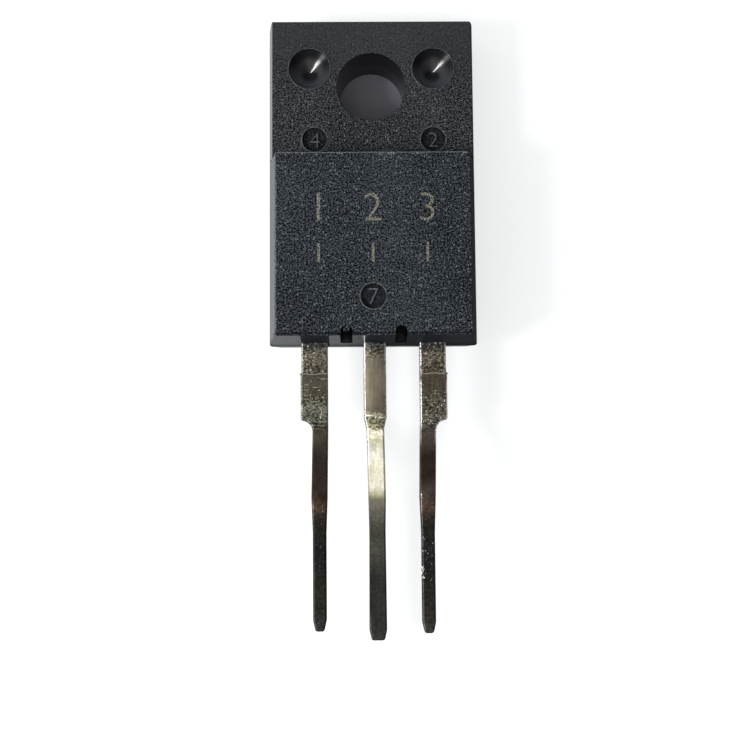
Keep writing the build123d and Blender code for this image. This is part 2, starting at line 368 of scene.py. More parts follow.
# --- finishes
@dataclass(frozen=True)
class EpoxyFinish:
    """Filled black epoxy: spark-eroded faces, smooth drafted sides, polished pin marks.

    The body gives the places of its marks and edges. Ranges are the limits of a smooth step,
    and shares say how much of a layer is laid on.
    """

    body: "MouldedBody"
    dark: Colour = srgb(3, 3, 5)
    light: Colour = srgb(82, 89, 95)
    tab_light: Colour = srgb(92, 96, 99)
    # pale specks: painted sparkle of the eroded grain
    speck: Colour = srgb(116, 121, 125)
    # pale wear on the shoulder, and painted highlight there and on the left edges
    worn_and_lit: Colour = srgb(178, 182, 182)
    marked: Colour = srgb(24, 26, 30)
    side: Colour = srgb(34, 36, 40)
    # painted shade on the right side and most of the bottom edge
    painted_side_shade: Colour = srgb(28, 31, 36)
    polished: Colour = srgb(6, 6, 11)
    turned: Colour = srgb(64, 66, 72)
    turned_low: Colour = srgb(56, 58, 63)
    # painted shade in the pin recesses, inside and toward the tab's end
    cone_shade: Colour = srgb(13, 14, 19)
    speck_share: float = 0.16
    marked_share: float = 0.7
    side_share: float = 0.8
    upright_range: Range = (0.45, 0.75)
    tone_range: Range = (-0.077, 0.132)
    calm_lift: float = 0.009
    roughness: float = 0.55
    smooth_roughness: float = 0.3
    gloss: float = 0.05
    coat_roughness: float = 0.17
    side_coat: float = 0.8
    rim_coat: float = 0.1
    rim_range: Range = (0.45, 0.8)
    hole_coat: float = 0.75
    notch_coat: float = 0.25
    pit_depth: float = 0.025 * MM
    smooth_pits: float = 0.06
    ring_pitch: float = 0.17 * MM
    cone_lit: Range = (0.45, -0.55)
    cone_range: Triple = (0.3, 0.75, 0.2)
    edge_width: float = 0.06 * MM
    shoulder_width: float = 0.09 * MM
    shoulder_drop: float = 0.1 * MM
    wear_range: tuple[float, float, float, float] = (0.36, 0.56, 0.4, 0.95)
    front_left_highlight: float = 0.35
    tab_left_highlight: float = 0.8
    worn_start: float = -2.6 * MM
    worn_full: float = 2.8 * MM
    worn_contrast: float = 0.2
    foot_reach: float = 0.6
    # stretches of the bottom edge left out of the painted shade
    bright_ends: Triple = (-3.44 * MM, -2.1 * MM, -0.41 * MM)
    seam_range: Range = (0.4, 0.5)
    foot_seam: float = 0.75

    def build(self, effects: Effects) -> Material:
        """Build the material.

        Args:
            effects: The shared node groups.

        Returns:
            The material.
        """
        paint = PlacedPaint("epoxy")
        grain = effects.grain.place(paint, speck=self.speck_share)
        upright = paint.remap(paint.facing("Z"), *self.upright_range, 1.0, 0.0)
        dull_and_shaded = paint.product(upright, self.dull_shaded_sides(paint))
        recess, hole, notch, floors, away = self.spots(paint)
        polished = paint.largest(recess, hole, notch)
        smooth = paint.largest(upright, polished)
        sleek = paint.product(smooth, paint.inverse(dull_and_shaded))
        seams = self.dark_edges(paint, grain["Tone"])
        contrast = paint.remap(paint.y, self.worn_start, self.worn_full, 1.0, self.worn_contrast)

        base = self.grained(paint, grain, contrast)
        for mask, colour in (
            (paint.product(floors, self.marked_share), self.marked),
            (paint.product(upright, self.side_share), self.side),
            # painted shade: the right side and most of the bottom edge are darker
            (dull_and_shaded, self.painted_side_shade),
            (polished, self.polished),
            (recess, self.turned_cone(paint, away)),
            (self.worn_and_lit_edges(paint, grain), self.worn_and_lit),
            (seams, self.dark),
        ):
            base = paint.mix(mask, base, colour)

        fade_start, fade_end = (share * self.body.pin_radius for share in self.rim_range)
        plain = paint.inverse(paint.largest(polished, seams))
        coat = paint.largest(
            paint.product(upright, sleek, plain, self.side_coat),
            paint.product(recess, paint.remap(away, fade_start, fade_end, 1.0, self.rim_coat)),
            paint.product(hole, self.hole_coat),
            paint.product(notch, self.notch_coat),
        )
        values = {
            "Base Color": base,
            "Roughness": paint.remap(sleek, 0.0, 1.0, self.roughness, self.smooth_roughness),
            "Specular IOR Level": self.gloss,
            "Coat Weight": coat,
            "Coat Roughness": self.coat_roughness,
        }
        calm = paint.remap(smooth, 0.0, 1.0, 1.0, self.smooth_pits)
        return paint.apply(values, paint.product(grain["Height"], calm, contrast), self.pit_depth)

    def grained(self, paint: PlacedPaint, grain: Sockets, contrast: Socket) -> Socket:
        """Colour of the spark-eroded faces.

        Args:
            paint: The material.
            grain: The moulding grain.
            contrast: Strength of the grain, less where the tab is rubbed.

        Returns:
            The colour.
        """
        spread = paint.product(paint.math("SUBTRACT", grain["Tone"], 0.5), contrast)
        lift = paint.remap(contrast, 0.0, 1.0, self.calm_lift, 0.0)
        tone = paint.remap(paint.math("ADD", spread, lift), *self.tone_range)
        on_tab = paint.above(paint.y, self.body.shoulder_edge)
        light = paint.mix(on_tab, self.light, self.tab_light)
        base = paint.mix(tone, self.dark, light)
        # painted sparkle: pale specks on the grain
        return paint.mix(paint.product(grain["Speck"], contrast), base, self.speck)

    def turned_cone(self, paint: PlacedPaint, away: Socket) -> Socket:
        """Colour of a pin recess: fine rings, with painted shade inside and toward the tab's end.

        Args:
            paint: The material.
            away: Distance from a recess's axis.

        Returns:
            The colour.
        """
        pin_y, reach = self.body.pin_y, self.body.pin_radius
        rings = paint.math("SINE", paint.product(away, 2 * math.pi / self.ring_pitch))
        turned = paint.mix(paint.remap(rings, -1.0, 1.0), self.turned_low, self.turned)
        # painted shade: darker near the axis and toward the tab's end, the rings' tones toward the
        # foot
        top, bottom = (pin_y + share * reach for share in self.cone_lit)
        inner, outer, least = self.cone_range
        far = paint.remap(away, inner * reach, outer * reach, least, 1.0)
        return paint.mix(paint.product(paint.remap(paint.y, top, bottom), far), self.cone_shade, turned)

    def dull_shaded_sides(self, paint: PlacedPaint) -> Socket:
        """Find the painted shade: the right side and most of the bottom edge, darker and uncoated.

        Args:
            paint: The material.

        Returns:
            The mask.
        """
        body = self.body
        left_end, middle_start, middle_end = self.bright_ends
        middle = paint.product(paint.above(paint.x, middle_start), paint.below(paint.x, middle_end))
        bright = paint.largest(paint.below(paint.x, left_end), middle)
        foot = paint.below(paint.y, body.low.y + self.foot_reach * body.notch_reach)
        right = paint.product(
            paint.above(paint.x, body.front_half_width - self.edge_width),
            paint.above(paint.facing("X"), 0.5),
        )
        lost = paint.largest(right, paint.product(foot, paint.inverse(bright)))
        return paint.product(paint.above(paint.z, body.parting_z), lost)

    def spots(self, paint: PlacedPaint) -> tuple[Socket, ...]:
        """Find the pin recesses, the screw hole, the notches and the ejector marks' floors.

        Args:
            paint: The material.

        Returns:
            A mask of each, and the distance from a recess's axis.
        """
        body = self.body
        left, right = (paint.radial(side * body.pin_x, body.pin_y) for side in (-1, 1))
        nearest = paint.math("MINIMUM", left, right)
        sunk = paint.below(paint.z, body.tab_thickness - body.skin)
        recess = paint.product(paint.below(nearest, body.pin_radius + body.skin), sunk)
        hole = paint.product(paint.below(paint.radial(0, 0), body.hole_mouth), sunk)
        aside = paint.off(paint.math("ABSOLUTE", paint.x), body.notch_x)
        notch = paint.product(
            paint.below(aside, body.notch_radius + body.skin),
            paint.below(paint.y, body.low.y + body.notch_reach),
            paint.below(paint.z, body.high.z - body.skin),
            paint.above(paint.z, body.high.z - body.notch_depth - body.skin),
        )
        floors = (
            paint.product(
                paint.below(paint.radial(mark.x, mark.y), body.mark_radius + body.skin),
                paint.below(paint.z, mark.z - body.skin),
            )
            for mark in body.marks()
        )
        return recess, hole, notch, paint.largest(*floors), nearest

    def worn_and_lit_edges(self, paint: PlacedPaint, grain: Sockets) -> Socket:
        """Pale wear and painted highlight on the shoulder, painted highlight on the left edges.

        Args:
            paint: The material.
            grain: The moulding grain, which breaks the wear up and chips the shoulder.

        Returns:
            The mask.
        """
        body, edge, width = self.body, self.edge_width, self.shoulder_width
        line = body.shoulder_edge + 0.25 * width
        shoulder = paint.near(paint.y, line, width)
        # painted highlight on the front's left edge, fainter than the shoulder's
        side = paint.near(paint.x, 0.4 * edge - body.front_half_width, 1.5 * edge)
        whole = paint.largest(shoulder, paint.product(side, self.front_left_highlight))
        lines = paint.product(whole, paint.remap(grain["Tone"], *self.wear_range))
        chips = paint.product(paint.near(paint.y, line, 2 * width), grain["Speck"])
        front = paint.above(paint.z, body.high.z - self.shoulder_drop)
        # painted highlight on the tab's left top edge
        tab_left_glint = paint.product(
            paint.near(paint.x, body.low.x + 1.6 * edge, 1.6 * edge),
            paint.above(paint.z, body.tab_thickness - edge),
            paint.above(paint.y, body.shoulder_edge + width),
            self.tab_left_highlight,
        )
        return paint.largest(paint.product(paint.largest(lines, chips), front), tab_left_glint)

    def dark_edges(self, paint: PlacedPaint, tone: Socket) -> Socket:
        """Dark lines on the bottom edge: under the front, and broken along the parting line.

        Args:
            paint: The material.
            tone: Grain that breaks the parting line up.

        Returns:
            The mask.
        """
        body, edge = self.body, self.edge_width
        front_foot = body.low.y + body.high.x - body.front_half_width
        under_front = paint.product(
            paint.near(paint.y, front_foot - 0.4 * edge, 1.4 * edge),
            paint.above(paint.z, body.high.z - 10 * edge),
            self.foot_seam,
        )
        parting = paint.product(
            paint.near(paint.z, body.parting_z, 12 * edge),
            paint.below(paint.y, front_foot + 0.5 * edge),
            paint.remap(tone, *self.seam_range),
        )
        return paint.largest(under_front, parting)


@dataclass(frozen=True)
class GrainFinish:
    """Epoxy of a small detail: two tones with the mould's grain between them."""

    name: str
    light: Colour
    dim: Colour
    roughness: float = 0.28
    tone_range: Range = (0.38, 0.6)
    pit_depth: float = 0.004 * MM

    def build(self, effects: Effects) -> Material:
        """Build the material.

        Args:
            effects: The shared node groups.

        Returns:
            The material.
        """
        paint = Paint(self.name)
        grain = effects.grain.place(paint)
        base = paint.mix(paint.remap(grain["Tone"], *self.tone_range), self.dim, self.light)
        values = {"Base Color": base, "Roughness": self.roughness}
        return paint.apply(values, grain["Height"], self.pit_depth)


@dataclass(frozen=True)
class LeadFinish:
    """Tin plating with solder, tarnish and painted reflections that change along a lead.

    Each row of stops holds a place in millimetres below the body with the colour there, or
    with the roughness, the strength of the crackle, the share of pale crust, or the share of
    pale cut edge, partly a painted glint.
    """

    name: str
    colours: Tints
    rough: Levels
    crackle: Levels
    crust: Levels
    sheared_glint: Levels
    # near white of the cut edges, partly a painted glint
    bright: Colour = srgb(250, 248, 240)
    pale: Colour = srgb(226, 222, 206)
    metallic: float = 0.95
    torn_range: Range = (0.34, 0.46)
    edge_range: Range = (0.15, 0.5)
    crackle_range: Range = (0.36, 0.64)
    crackle_shades: Range = (0.3, 2.0)
    tone_range: Range = (0.3, 0.7)
    tone_shades: Range = (0.75, 1.25)
    sheared_roughness: float = 0.8
    least_relief: float = 0.15
    wrinkle_depth: float = 0.02 * MM

    def build(self, effects: Effects, root_y: float, tip_y: float) -> Material:
        """Build the material.

        Args:
            effects: The shared node groups.
            root_y: Where the lead leaves the body.
            tip_y: Where it ends.

        Returns:
            The material.
        """
        paint = PlacedPaint(self.name)
        along = paint.add("MapRange", {0: paint.y, 1: root_y, 2: tip_y}).outputs[0]
        length = (root_y - tip_y) / MM

        def level(stops: Levels) -> Socket:
            """A value that changes along the lead, from its stops."""
            return paint.ramp(along, [(place / length, (value,) * 3) for place, value in stops])

        wrinkle = effects.wrinkle.place(paint, crust=level(self.crust))
        torn = paint.remap(wrinkle["Crackle"], *self.torn_range)
        edge = paint.remap(paint.facing("X"), *self.edge_range)
        # painted glint: edges facing sideways are painted near white, broken up by the crackle
        bright = paint.product(edge, torn, level(self.sheared_glint))

        amount = level(self.crackle)
        low, high = (paint.remap(amount, 0.0, 1.0, 1.0, most) for most in self.crackle_shades)
        broken = paint.remap(wrinkle["Crackle"], *self.crackle_range, low, high)
        uneven = paint.remap(wrinkle["Tone"], *self.tone_range, *self.tone_shades)
        tint = paint.ramp(along, [(place / length, colour) for place, colour in self.colours])
        inputs = {0: 1.0, 6: tint, 7: paint.product(broken, uneven)}
        shade = paint.add("Mix", inputs, data_type="RGBA", blend_type="MULTIPLY").outputs[2]
        base = paint.mix(wrinkle["Crust"], shade, self.pale)

        sleeker = paint.remap(bright, 0.0, 1.0, 1.0, self.sheared_roughness)
        values = {
            "Base Color": paint.mix(bright, base, self.bright),
            "Roughness": paint.product(level(self.rough), sleeker),
            "Metallic": self.metallic,
        }
        relief = paint.math("ADD", amount, self.least_relief)
        return paint.apply(values, paint.product(wrinkle["Height"], relief), self.wrinkle_depth)


@dataclass(frozen=True)
class PlainMetalFinish:
    """A metal inside the package or on the plating: drawn, rolled or soldered."""

    name: str
    colour: Colour
    roughness: float
    roughness_spread: float = 0.08
    shade: float = 0.7
    depth: float = 0.004 * MM

    def build(self, effects: Effects) -> Material:
        """Build the material.

        Args:
            effects: The shared node groups.

        Returns:
            The material.
        """
        paint = Paint(self.name)
        wrinkle = effects.wrinkle.place(paint)
        darker = tuple(self.shade * value for value in self.colour)
        least, most = self.roughness - self.roughness_spread, self.roughness + self.roughness_spread
        values = {
            "Base Color": paint.mix(wrinkle["Tone"], darker, self.colour),
            "Roughness": paint.remap(wrinkle["Tone"], 0.2, 0.8, least, most),
            "Metallic": 1.0,
        }
        return paint.apply(values, wrinkle["Height"], self.depth)


@dataclass(frozen=True)
class SiliconFinish:
    """A sawn silicon chip with its metal pads."""

    name: str = "silicon"
    field: Colour = srgb(70, 74, 92)
    pad: Colour = srgb(196, 196, 198)
    cell: float = 1.1 * MM
    gap: float = 0.066 * MM
    metallic: float = 0.8
    roughness_range: Range = (0.18, 0.32)

    def build(self, effects: Effects, centre: Vector) -> Material:
        """Build the material.

        Args:
            effects: The shared node groups.
            centre: Middle of the chip.

        Returns:
            The material.
        """
        paint = Paint(self.name)
        shift = paint.add("Mapping", {"Vector": paint.at, "Location": -centre}).outputs[0]
        layout = {"Brick Width": self.cell, "Row Height": self.cell, "Mortar Size": self.gap}
        bricks = paint.add("TexBrick", {"Vector": shift, "Scale": 1.0, **layout}, offset=0.0)
        tone = effects.wrinkle.place(paint)["Tone"]
        values = {
            "Base Color": paint.mix(bricks.outputs["Fac"], self.pad, self.field),
            "Roughness": paint.remap(tone, 0.2, 0.8, *self.roughness_range),
            "Metallic": self.metallic,
        }
        return paint.apply(values)


# --- object helpers
def dress(node: str, material: Material) -> bpy.types.Object:
    """Put one material on every face of a CAD node.

    Args:
        node: The node's name.
        material: The material.

    Returns:
        The node's object.
    """
    piece = frame["nodes"][node]
    if not piece.material_slots:
        piece.data.materials.append(material)
    for entry in piece.material_slots:
        entry.material = material
    return piece


def add_object(name: str, shape: Shape, material: Material) -> bpy.types.Object:
    """Turn a bmesh, which is freed, into a dressed object at the origin.

    Args:
        name: The object's name.
        shape: The bmesh.
        material: Its material.

    Returns:
        The new object.
    """
    mesh = bpy.data.meshes.new(name)
    shape.to_mesh(mesh)
    shape.free()
    mesh.materials.append(material)
    piece = bpy.data.objects.new(name, mesh)
    bpy.context.collection.objects.link(piece)
    return piece


def add_piece(name: str, shape: Shape, material: Material) -> bpy.types.Object:
    """Add a dressed object that rides on the part.

    Args:
        name: The piece's name.
        shape: Its bmesh, freed afterwards.
        material: Its material.

    Returns:
        The new piece.
    """
    piece = add_object(name, shape, material)
    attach(piece, "root")
    log.info("piece: %s", name)
    return piece


def raised_figures(
    text: str, height: float, thickness: float, gap: float, place: Matrix, thinning: float
) -> Shape:
    """Make a row of raised plain characters as one closed mesh.

    Args:
        text: The characters.
        height: Height of a character.
        thickness: How far they stand up from place.
        gap: Distance from the middle of one character to the next.
        place: Where the middle of the row's foot plane goes.
        thinning: How much thinner each stroke's side is, in characters.

    Returns:
        The shape.
    """
    merged = bmesh.new()
    for index, character in enumerate(text):
        curve = bpy.data.curves.new("character", "FONT")
        configure(curve, body=character, align_x="CENTER", align_y="CENTER", size=1.0)
        configure(curve, extrude=0.5, offset=-thinning, resolution_u=4)
        holder = bpy.data.objects.new("character", curve)
        glyph = bpy.data.meshes.new_from_object(holder)
        heights = [vertex.co.y for vertex in glyph.vertices]
        scale = height / (max(heights) - min(heights))
        middle = sum((Vector(corner) for corner in holder.bound_box), Vector()) / 8
        shift = (index - (len(text) - 1) / 2) * gap
        glyph.transform(
            place
            @ Matrix.Translation((shift, 0, thickness / 2))
            @ Matrix.Diagonal((scale, scale, thickness, 1.0))
            @ Matrix.Translation((-middle.x, -middle.y, 0))
        )
        merged.from_mesh(glyph)
        bpy.data.objects.remove(holder)
        bpy.data.curves.remove(curve)
        bpy.data.meshes.remove(glyph)
    bmesh.ops.remove_doubles(merged, verts=merged.verts, dist=0.0005 * MM)
    bmesh.ops.recalc_face_normals(merged, faces=merged.faces)
    return merged


# --- sub-assemblies
@dataclass
class MouldedBody:
    """The epoxy body, with the figures and lips that its mould leaves, and the laser marking.

    Places are measured from the screw hole's centre, from the bottom edge and from the front.
    """

    effects: Effects
    node: str = "molded_body"
    tab_thickness: float = 2.8 * MM
    parting_z: float = 2.4 * MM
    side_draft: float = math.radians(10.0)
    shoulder_edge: float = -3.75 * MM
    hole_mouth: float = 1.7 * MM
    pin_x: float = 3.03 * MM
    pin_y: float = 0.92 * MM
    pin_radius: float = 1.0 * MM
    notch_x: float = 1.29 * MM
    notch_radius: float = 0.28 * MM
    notch_reach: float = 0.74 * MM
    notch_depth: float = 1.45 * MM
    mark_radius: float = 0.6 * MM
    mark_depth: float = 0.18 * MM
    left_mark_x: float = -2.78 * MM
    right_mark_x: float = 3.0 * MM
    mark_y: float = -2.65 * MM
    foot_mark_up: float = 2.1 * MM
    figure_height: float = 0.74 * MM
    figure_rise: float = 0.1 * MM
    figure_thinning: float = 0.02
    lip_width: float = 0.07 * MM
    lip_height: float = 0.025 * MM
    lip_steps: int = 6
    number_height: float = 1.35 * MM
    number_up: float = 6.35 * MM
    number_thinning: float = 0.012
    bar_width: float = 0.12 * MM
    bar_height: float = 0.9 * MM
    bar_up: float = 4.15 * MM
    print_rise: float = 0.004 * MM
    lead_pitch: float = 2.56 * MM
    skin: float = 0.015 * MM
    low: Vector = field(init=False)
    high: Vector = field(init=False)
    front_half_width: float = field(init=False)

    def __post_init__(self) -> None:
        """Read the body's box from the frame."""
        self.low, self.high = (Vector(corner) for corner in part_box(self.node))
        lean = (self.high.z - self.parting_z) * math.tan(self.side_draft)
        self.front_half_width = self.high.x - lean

    def marks(self) -> list[Vector]:
        """Middles of the three ejector marks, on the surface."""
        return [
            Vector((self.left_mark_x, self.mark_y, self.tab_thickness)),
            Vector((self.right_mark_x, self.mark_y, self.tab_thickness)),
            Vector((0, self.low.y + self.foot_mark_up, self.high.z)),
        ]

    def build(self) -> None:
        """Dress the body and add its raised details."""
        dress(self.node, EpoxyFinish(self).build(self.effects))
        log.info("body: %s", self.node)
        self.add_figures()
        self.add_lips()
        self.add_marking()

    def add_figures(self) -> None:
        """Put a plain raised figure in each ejector mark."""
        finish = GrainFinish("raised_figure_epoxy", srgb(104, 108, 110), srgb(60, 63, 66))
        material = finish.build(self.effects)
        for figure, centre in zip("427", self.marks()):
            floor = Matrix.Translation(centre - Vector((0, 0, self.mark_depth)))
            shape = raised_figures(
                figure, self.figure_height, self.figure_rise, 0.0, floor, self.figure_thinning
            )
            add_piece(f"mark_figure_{figure}", shape, material)

    def add_lips(self) -> None:
        """Put a thin lip round each ejector mark and pin recess."""
        pins = [Vector((x, self.pin_y, self.tab_thickness)) for x in (-self.pin_x, self.pin_x)]
        # the marks' lips are paler than the pins': partly a painted highlight on their edge
        pale = GrainFinish("lip_epoxy", srgb(92, 96, 97), srgb(34, 36, 39))
        plain = GrainFinish("pin_lip_epoxy", srgb(68, 71, 74), srgb(26, 28, 31))
        for name, centres, radius, finish in (
            ("mark_lips", self.marks(), self.mark_radius, pale),
            ("pin_recess_lips", pins, self.pin_radius, plain),
        ):
            shape = self.ring_lips(centres, radius)
            add_piece(name, shape, finish.build(self.effects))

    def ring_lips(self, centres: list[Vector], radius: float) -> Shape:
        """Make thin raised lips round circular marks by turning a small rounded profile.

        Args:
            centres: Middle of each mark, on the surface.
            radius: Inner radius of the lip.

        Returns:
            The shape.
        """
        turned = bmesh.new()
        half = self.lip_width / 2
        down = Vector((0, 0, self.lip_height))
        for centre in centres:
            corners = []
            for step in range(self.lip_steps + 1):
                angle = math.pi * step / self.lip_steps
                across = radius + half - half * math.cos(angle)
                corners.append(centre + Vector((across, 0, self.lip_height * math.sin(angle))))
            corners += [corners[end] - down for end in (-1, 0)]
            loop = [turned.verts.new(corner) for corner in corners]
            edges = [turned.edges.new(pair) for pair in zip(loop, loop[1:] + loop[:1])]
            bmesh.ops.spin(
                turned,
                geom=loop + edges,
                cent=centre,
                axis=(0, 0, 1),
                angle=2 * math.pi,
                steps=40,
                use_merge=True,
                use_duplicate=False,
            )
        bmesh.ops.recalc_face_normals(turned, faces=turned.faces)
        return turned

    def add_marking(self) -> None:
        """Number the leads on the front, with a bar under each number, as a laser leaves them."""
        pale, dim = srgb(146, 144, 124), srgb(46, 48, 46)
        finish = GrainFinish("laser_marking", pale, dim, 0.7, (0.4, 0.6), 0.03 * MM)
        material = finish.build(self.effects)
        place = Matrix.Translation((0, self.low.y + self.number_up, self.high.z))
        numbers = raised_figures(
            "123", self.number_height, self.print_rise, self.lead_pitch, place, self.number_thinning
        )
        add_piece("laser_numbers", numbers, material)
        bars = bmesh.new()
        size = Matrix.Diagonal((self.bar_width, self.bar_height, self.print_rise, 1.0))
        up, middle_z = self.low.y + self.bar_up, self.high.z + self.print_rise / 2
        for step in (-1, 0, 1):
            place = Matrix.Translation((step * self.lead_pitch, up, middle_z))
            bmesh.ops.create_cube(bars, size=1.0, matrix=place @ size)
        add_piece("laser_bars", bars, material)


def tints(*rows: tuple[float, int, int, int]) -> Tints:
    """Stops of a lead's colour, from places in millimetres with display values."""
    return tuple((place, srgb(*colour)) for place, *colour in rows)


OUTER_ROUGH: Levels = (
    (0.0, 0.45), (4.2, 0.42), (4.8, 0.3), (7.4, 0.3), (8.6, 0.38),
)
OUTER_CRACKLE: Levels = (
    (0.0, 1.0), (1.35, 1.0), (1.45, 0.3), (2.4, 0.45), (2.8, 0.9), (3.8, 0.9), (4.3, 0.2),
    (7.0, 0.2), (7.6, 0.5), (8.6, 0.45),
)
# the colour stops follow each stretch's brightness: painted reflections along with the tarnish
LEAD_FINISHES = {
    "base_lead": LeadFinish(
        "base_lead_tin",
        tints(
            (0.15, 73, 71, 64), (0.45, 108, 101, 88), (0.75, 108, 102, 89), (1.1, 84, 78, 65),
            (1.34, 99, 95, 84), (1.46, 92, 87, 76), (1.75, 93, 89, 76), (2.25, 84, 79, 68),
            (2.7, 84, 83, 70), (3.1, 130, 128, 115), (3.5, 94, 97, 83), (3.9, 113, 111, 95),
            (4.3, 131, 122, 107), (4.8, 98, 89, 77), (5.4, 83, 73, 66), (6.3, 89, 74, 66),
            (7.0, 86, 73, 65), (7.5, 74, 57, 47), (7.75, 84, 69, 60), (8.1, 53, 47, 41),
            (8.6, 40, 38, 34), (9.3, 37, 38, 34), (10.3, 32, 32, 30), (11.5, 47, 48, 43),
            (12.4, 47, 47, 40), (13.1, 53, 54, 54),
        ),
        rough=OUTER_ROUGH,
        crackle=OUTER_CRACKLE,
        crust=(
            (0.0, 0.38), (1.35, 0.36), (1.5, 0.3), (2.7, 0.36), (3.8, 0.33), (4.4, 0.26),
            (7.4, 0.28), (8.4, 0.29),
        ),
        sheared_glint=((0.0, 0.5), (0.8, 0.3), (1.4, 0.2), (3.6, 0.15), (4.2, 0.0)),
    ),
    "emitter_lead": LeadFinish(
        "emitter_lead_tin",
        tints(
            (0.15, 69, 67, 66), (0.45, 104, 98, 81), (0.75, 106, 100, 85), (1.1, 89, 82, 66),
            (1.34, 91, 83, 72), (1.46, 98, 89, 77), (1.75, 90, 82, 69), (2.25, 90, 84, 71),
            (2.7, 90, 85, 73), (3.1, 79, 74, 63), (3.5, 97, 95, 83), (3.9, 83, 81, 70),
            (4.3, 124, 112, 103), (4.8, 115, 100, 91), (5.4, 74, 62, 55), (6.3, 79, 63, 56),
            (7.0, 118, 106, 101), (7.5, 93, 77, 68), (7.75, 97, 80, 70), (8.1, 63, 55, 46),
            (8.6, 40, 39, 35), (9.3, 42, 43, 40), (10.3, 38, 38, 37), (11.5, 39, 39, 35),
            (12.4, 52, 46, 40), (13.1, 63, 63, 55),
        ),
        rough=OUTER_ROUGH,
        crackle=OUTER_CRACKLE,
        crust=(
            (0.0, 0.4), (1.35, 0.38), (1.5, 0.3), (2.4, 0.34), (3.8, 0.37), (4.4, 0.24),
            (7.6, 0.28), (9.4, 0.33), (11.0, 0.34), (12.0, 0.27),
        ),
        sheared_glint=(
            (0.0, 1.0), (1.05, 1.0), (1.4, 0.25), (1.7, 0.1), (1.85, 1.0), (4.4, 1.0),
            (4.9, 0.02),
        ),
    ),
    "collector_header": LeadFinish(
        "collector_tin",
        # painted reflection: the pale stretch from 4.2 to 6.8 mm is the overhead lamp on the slope,
        # fading out before the bend
        tints(
            (0.15, 86, 86, 81), (0.45, 128, 118, 97), (0.8, 142, 134, 115), (1.5, 150, 141, 122),
            (2.4, 142, 134, 116), (3.15, 134, 124, 107), (3.38, 185, 179, 155),
            (3.55, 123, 123, 98), (3.8, 139, 135, 108), (4.05, 171, 165, 140),
            (4.2, 225, 219, 195), (4.6, 200, 197, 167), (5.2, 231, 229, 210),
            (6.0, 209, 205, 181), (6.8, 229, 223, 205), (7.1, 182, 179, 146),
            (7.25, 140, 139, 112), (7.325, 132, 130, 107), (7.35, 148, 146, 121),
            (7.46, 143, 140, 120), (7.56, 136, 132, 120), (7.68, 135, 130, 121),
            (7.85, 123, 119, 106), (8.3, 107, 105, 93), (9.0, 72, 72, 64), (9.8, 87, 87, 77),
            (10.6, 63, 62, 58), (11.6, 54, 55, 50), (12.6, 55, 55, 52), (13.6, 53, 53, 51),
        ),
        rough=((0.0, 0.4), (3.5, 0.38), (4.2, 0.34), (7.3, 0.36), (8.4, 0.38)),
        crackle=(
            (0.0, 1.0), (0.5, 0.8), (0.8, 0.12), (3.1, 0.12), (3.35, 1.0), (3.95, 0.9),
            (4.2, 0.4), (5.0, 0.25), (7.0, 0.15), (8.0, 0.3),
        ),
        crust=(
            (0.0, 0.4), (0.7, 0.3), (3.1, 0.22), (3.36, 0.44), (3.55, 0.42), (3.7, 0.34),
            (4.1, 0.24), (9.0, 0.22), (9.8, 0.3), (10.2, 0.22),
        ),
        sheared_glint=((0.0, 1.0), (1.2, 0.9), (1.6, 0.4), (3.3, 0.4), (3.9, 0.2), (4.3, 0.0)),
    ),
}


@dataclass(frozen=True)
class SolderPatch:
    """A stretch of lead with drops of solder on it, in millimetres."""

    count: int
    across: Range
    along: Range
    height: float
    size: Range
    stretch: float = 1.3


SOLDER_PATCHES = (
    SolderPatch(9, (2.3, 3.4), (-16.4, -15.0), 3.05, (0.02, 0.035)),
    SolderPatch(4, (2.3, 3.4), (-14.0, -13.0), 3.05, (0.02, 0.03)),
    SolderPatch(7, (2.06, 2.24), (-23.75, -23.2), 4.82, (0.025, 0.035), 3.0),
    SolderPatch(4, (2.08, 2.3), (-22.8, -21.7), 4.82, (0.02, 0.03)),
    SolderPatch(2, (2.08, 2.16), (-20.1, -19.9), 4.8, (0.03, 0.04), 2.0),
    SolderPatch(9, (-0.4, 0.45), (-16.28, -16.12), 3.05, (0.02, 0.04), 2.0),
)


@dataclass(frozen=True)
class Ridge:
    """A short raised wrinkle in the plating, in millimetres and degrees."""

    x: float
    y: float
    length: float
    radius: float = 0.026
    turn: float = 0.0


RIDGES = (
    Ridge(-2.38, -14.38, 0.34, 0.032), Ridge(-3.18, -14.65, 0.31, 0.026, 15.0),
    Ridge(-2.76, -14.79, 0.36), Ridge(-3.2, -14.9, 0.26, 0.02),
    Ridge(-3.19, -15.17, 0.3, 0.026, 11.0), Ridge(-3.18, -15.36, 0.3, 0.02, -8.0),
    Ridge(-2.72, -15.26, 0.18, 0.024, 45.0), Ridge(-2.38, -15.29, 0.14, 0.03, -19.0),
    Ridge(-2.86, -15.46, 0.4, 0.028), Ridge(-2.5, -16.04, 0.56, 0.034, 82.0),
    Ridge(2.9, -15.55, 0.28, 0.022), Ridge(2.95, -14.99, 0.13, 0.026, -19.0),
)


